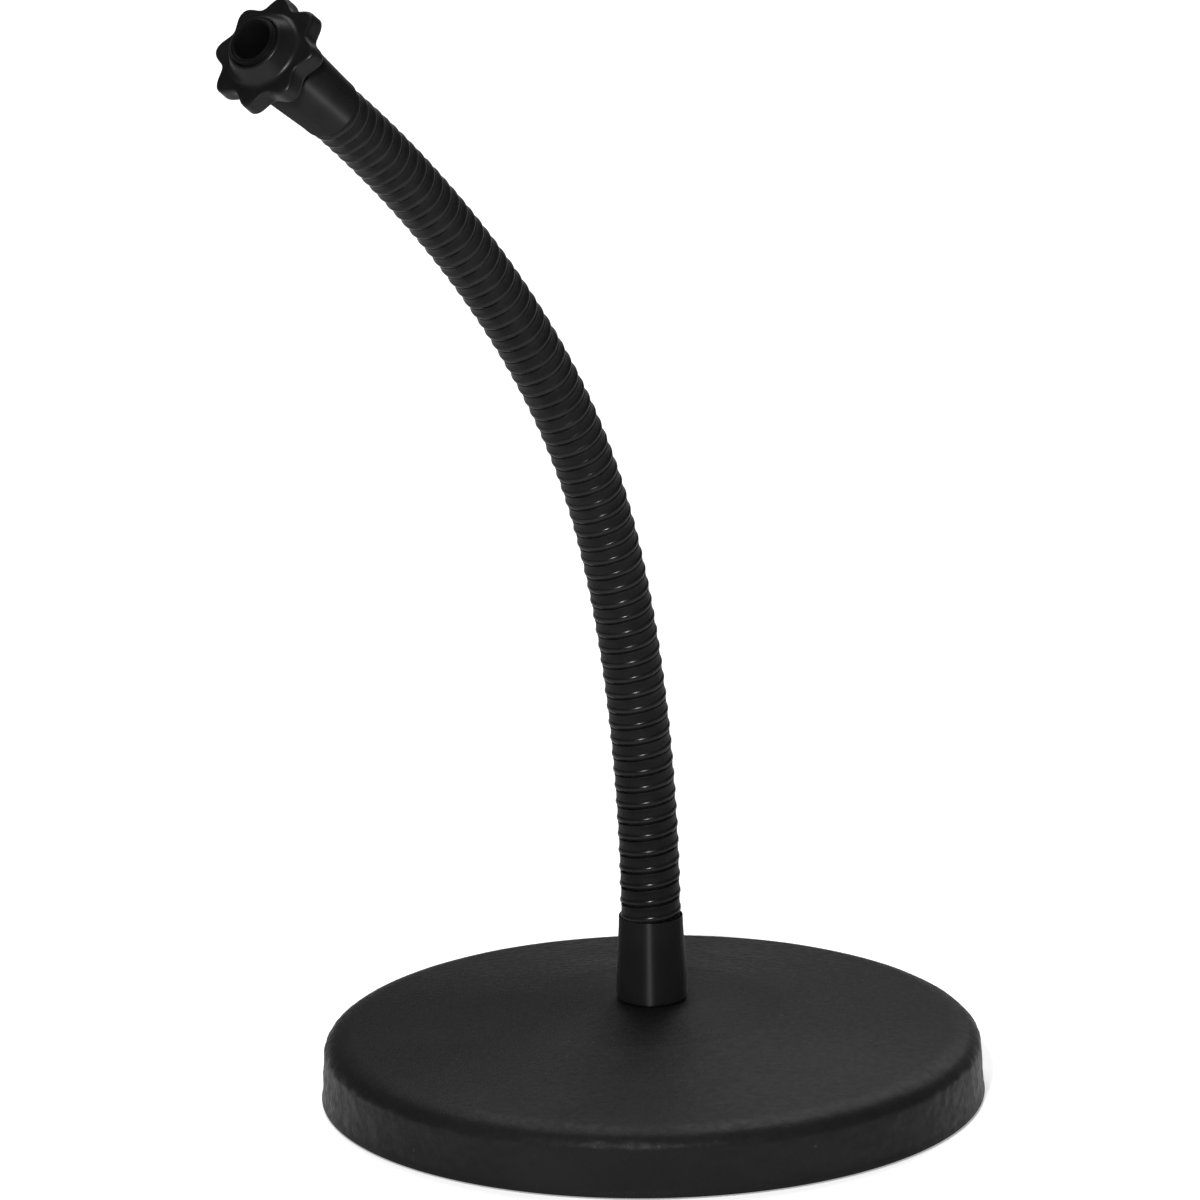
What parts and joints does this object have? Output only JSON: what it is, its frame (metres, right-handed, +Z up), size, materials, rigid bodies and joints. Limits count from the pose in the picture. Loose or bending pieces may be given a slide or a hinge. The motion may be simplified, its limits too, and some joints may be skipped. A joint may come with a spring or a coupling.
{
  "type": "desktop mic stand",
  "caption": "Desktop microphone stand: heavy round cast base, bendable wire gooseneck between two ferrules, and a threaded end with a lobed lock nut.",
  "frame": {"origin": "middle of the base's underside, on the face that stands on the desk", "axes": "+Z up; the neck leans towards -Y; +X is to the right when the head points at the viewer's left-hand side of -Y"},
  "size_m": [0.2032, 0.2758, 0.3861],
  "materials": {
    "casting_coat": "textured black coat over cast iron, low gloss",
    "pad_rubber": "matt black rubber",
    "bare_steel": "zinc plated, satin",
    "ferrule_gloss": "smooth gloss black",
    "wedge_wire": "black, satin gloss",
    "round_wire": "black, gloss",
    "thread_black": "blackened thread, satin",
    "nut_plastic": "moulded black plastic, glossy collar",
    "insert_brass": "turned brass",
    "washer_fibre": "matt black"
  },
  "bodies": {
    "base": {"base_casting": "casting_coat", "foot_pad": "pad_rubber", "base_stud": "bare_steel", "base_flat_washer": "bare_steel", "base_spring_washer": "bare_steel", "base_hex_nut": "bare_steel", "lower_ferrule": "ferrule_gloss", "lower_neck_core": "bare_steel", "neck_wedge_wire_00": "wedge_wire", "neck_round_wire_00": "round_wire"},
    "neck_01": {"neck_wedge_wire_01": "wedge_wire", "neck_round_wire_01": "round_wire"},
    "neck_02": {"neck_wedge_wire_02": "wedge_wire", "neck_round_wire_02": "round_wire"},
    "neck_03": {"neck_wedge_wire_03": "wedge_wire", "neck_round_wire_03": "round_wire"},
    "neck_04": {"neck_wedge_wire_04": "wedge_wire", "neck_round_wire_04": "round_wire"},
    "neck_05": {"neck_wedge_wire_05": "wedge_wire", "neck_round_wire_05": "round_wire"},
    "neck_06": {"neck_wedge_wire_06": "wedge_wire", "neck_round_wire_06": "round_wire"},
    "neck_07": {"neck_wedge_wire_07": "wedge_wire", "neck_round_wire_07": "round_wire"},
    "neck_08": {"neck_wedge_wire_08": "wedge_wire", "neck_round_wire_08": "round_wire"},
    "neck_09": {"neck_wedge_wire_09": "wedge_wire", "neck_round_wire_09": "round_wire"},
    "neck_10": {"neck_wedge_wire_10": "wedge_wire", "neck_round_wire_10": "round_wire"},
    "neck_11": {"neck_wedge_wire_11": "wedge_wire", "neck_round_wire_11": "round_wire"},
    "head": {"neck_wedge_wire_12": "wedge_wire", "neck_round_wire_12": "round_wire", "upper_neck_core": "bare_steel", "upper_ferrule": "ferrule_gloss", "top_stud": "thread_black"},
    "nut_carrier": {"nut_washer": "washer_fibre"},
    "nut": {"star_nut": "nut_plastic", "nut_insert": "insert_brass"}
  },
  "joints": [
    {"name": "lower_curl", "type": "hinge", "parent": "base", "child": "neck_01", "pos_m": [0, -0.00018, 0.07268], "axis": [1, 0, 0], "range_deg": [-10, 10]},
    {"name": "lower_sway", "type": "hinge", "parent": "neck_01", "child": "neck_02", "pos_m": [0, -0.00166, 0.10021], "axis": [0, 0.9967, 0.0808], "range_deg": [-8.5, 8.5]},
    {"name": "lower_curl_2", "type": "hinge", "parent": "neck_02", "child": "neck_03", "pos_m": [0, -0.00466, 0.1276], "axis": [1, 0, 0], "range_deg": [-10, 10]},
    {"name": "lower_sway_2", "type": "hinge", "parent": "neck_03", "child": "neck_04", "pos_m": [0, -0.00933, 0.15477], "axis": [0, 0.9793, 0.2026], "range_deg": [-8.5, 8.5]},
    {"name": "lower_curl_3", "type": "hinge", "parent": "neck_04", "child": "neck_05", "pos_m": [0, -0.01599, 0.18151], "axis": [1, 0, 0], "range_deg": [-10, 10]},
    {"name": "lower_sway_3", "type": "hinge", "parent": "neck_05", "child": "neck_06", "pos_m": [0, -0.02518, 0.20748], "axis": [0, 0.9228, 0.3853], "range_deg": [-8.5, 8.5]},
    {"name": "upper_curl", "type": "hinge", "parent": "neck_06", "child": "neck_07", "pos_m": [0, -0.03721, 0.23227], "axis": [1, 0, 0], "range_deg": [-10, 10]},
    {"name": "upper_sway", "type": "hinge", "parent": "neck_07", "child": "neck_08", "pos_m": [0, -0.05165, 0.25575], "axis": [0, 0.8291, 0.5591], "range_deg": [-8.5, 8.5]},
    {"name": "upper_curl_2", "type": "hinge", "parent": "neck_08", "child": "neck_09", "pos_m": [0, -0.06785, 0.27804], "axis": [1, 0, 0], "range_deg": [-10, 10]},
    {"name": "upper_sway_2", "type": "hinge", "parent": "neck_09", "child": "neck_10", "pos_m": [0, -0.08541, 0.29929], "axis": [0, 0.7522, 0.6589], "range_deg": [-8.5, 8.5]},
    {"name": "upper_curl_3", "type": "hinge", "parent": "neck_10", "child": "neck_11", "pos_m": [0, -0.10414, 0.31951], "axis": [1, 0, 0], "range_deg": [-10, 10]},
    {"name": "upper_sway_3", "type": "hinge", "parent": "neck_11", "child": "head", "pos_m": [0, -0.12392, 0.3387], "axis": [0, 0.6769, 0.7361], "range_deg": [-8.5, 8.5]},
    {"name": "nut_travel", "type": "slide", "parent": "head", "child": "nut_carrier", "axis": [0, -0.7537, 0.6572], "range_m": [-0.00332, 0.00332]},
    {"name": "nut_spin", "type": "hinge", "parent": "nut_carrier", "child": "nut", "pos_m": [0, -0.16038, 0.37074], "axis": [0, -0.7537, 0.6572], "range_deg": [-1080, 1080]}
  ],
  "couplings": [
    {"joint": "lower_curl_2", "follows": "lower_curl", "ratio": 1},
    {"joint": "lower_sway_2", "follows": "lower_sway", "ratio": 1},
    {"joint": "lower_curl_3", "follows": "lower_curl", "ratio": 1},
    {"joint": "lower_sway_3", "follows": "lower_sway", "ratio": 1},
    {"joint": "upper_curl_2", "follows": "upper_curl", "ratio": 1},
    {"joint": "upper_sway_2", "follows": "upper_sway", "ratio": 1},
    {"joint": "upper_curl_3", "follows": "upper_curl", "ratio": 1},
    {"joint": "upper_sway_3", "follows": "upper_sway", "ratio": 1},
    {"joint": "nut_travel", "follows": "nut_spin", "m_per_rad": 0.00014972}
  ]
}
